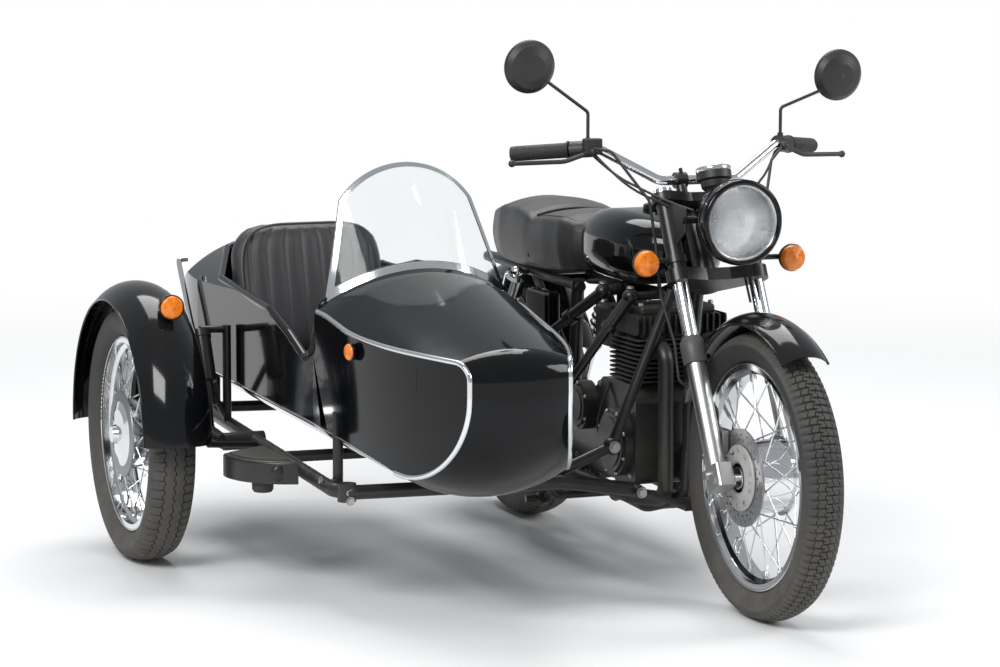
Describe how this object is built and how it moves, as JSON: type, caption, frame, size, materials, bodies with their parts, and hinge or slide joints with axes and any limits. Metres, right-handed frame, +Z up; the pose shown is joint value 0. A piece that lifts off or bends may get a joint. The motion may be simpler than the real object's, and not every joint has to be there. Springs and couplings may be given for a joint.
{
  "type": "sidecar motorcycle",
  "caption": "Two-seat road motorcycle with a boat-shaped passenger sidecar on its right, steering fork, spoked wheels that turn, and a folding centre stand.",
  "frame": {"origin": "middle of the whole machine's outline on the floor", "axes": "+Z up, front of the machine towards -Y, the sidecar on the machine's right towards -X"},
  "size_m": [1.6795, 2.2296, 1.3077],
  "materials": {
    "black_paint": "gloss",
    "frame_black": "satin",
    "chrome": "polished",
    "alloy": "satin",
    "cast_alloy": "matte",
    "steel": "satin",
    "tyre": "matte",
    "rubber": "matte",
    "vinyl": "satin",
    "clear": "clear",
    "amber": "ribbed",
    "plastic": "satin",
    "grp": "gloss"
  },
  "bodies": {
    "machine": {"crankcase": "cast_alloy", "cylinders": "cast_alloy", "exhausts": "frame_black", "footstep": "rubber", "frame": "frame_black", "fuel_tank": "black_paint", "hull_trim": "chrome", "rear_lamps": "amber", "rear_mudguard": "black_paint", "rear_shocks": "chrome", "seat": "vinyl", "side_boxes": "black_paint", "sidecar_chassis": "frame_black", "sidecar_hull": "grp", "sidecar_lamps": "amber", "sidecar_mudguard": "black_paint", "sidecar_seat": "vinyl", "sidecar_struts": "frame_black", "swing_arm": "frame_black", "windscreen": "clear", "windscreen_frame": "chrome"},
    "steering": {"fork_yokes": "frame_black", "stanchions": "chrome", "fork_covers": "frame_black", "sliders": "alloy", "front_caliper": "cast_alloy", "front_mudguard": "black_paint", "headlamp": "black_paint", "headlamp_lens": "clear", "gauge": "plastic", "handlebar": "chrome", "grips": "rubber", "bar_controls": "plastic", "mirrors": "plastic", "front_signals": "amber", "control_cables": "rubber"},
    "front_wheel": {"front_tyre": "tyre", "front_wheel": "chrome", "front_disc": "steel"},
    "rear_wheel": {"rear_tyre": "tyre", "rear_wheel": "chrome"},
    "sidecar_wheel": {"sidecar_tyre": "tyre", "sidecar_wheel": "chrome"},
    "centre_stand": {"centre_stand": "frame_black"}
  },
  "joints": [
    {"name": "steering", "type": "hinge", "parent": "machine", "child": "steering", "pos_m": [0.3755, -0.69563, 0.30276], "axis": [0, 0.454, 0.891], "range_deg": [-36, 36]},
    {"name": "front_wheel_spin", "type": "hinge", "parent": "steering", "child": "front_wheel", "pos_m": [0.3755, -0.785, 0.33], "axis": [1, 0, 0], "continuous": true},
    {"name": "rear_wheel_spin", "type": "hinge", "parent": "machine", "child": "rear_wheel", "pos_m": [0.3755, 0.643, 0.316], "axis": [1, 0, 0], "continuous": true},
    {"name": "sidecar_wheel_spin", "type": "hinge", "parent": "machine", "child": "sidecar_wheel", "pos_m": [-0.7545, 0.403, 0.316], "axis": [1, 0, 0], "continuous": true},
    {"name": "stand_fold", "type": "hinge", "parent": "machine", "child": "centre_stand", "pos_m": [0.3755, 0.12, 0.192], "axis": [-1, 0, 0], "range_deg": [0, 58]}
  ]
}
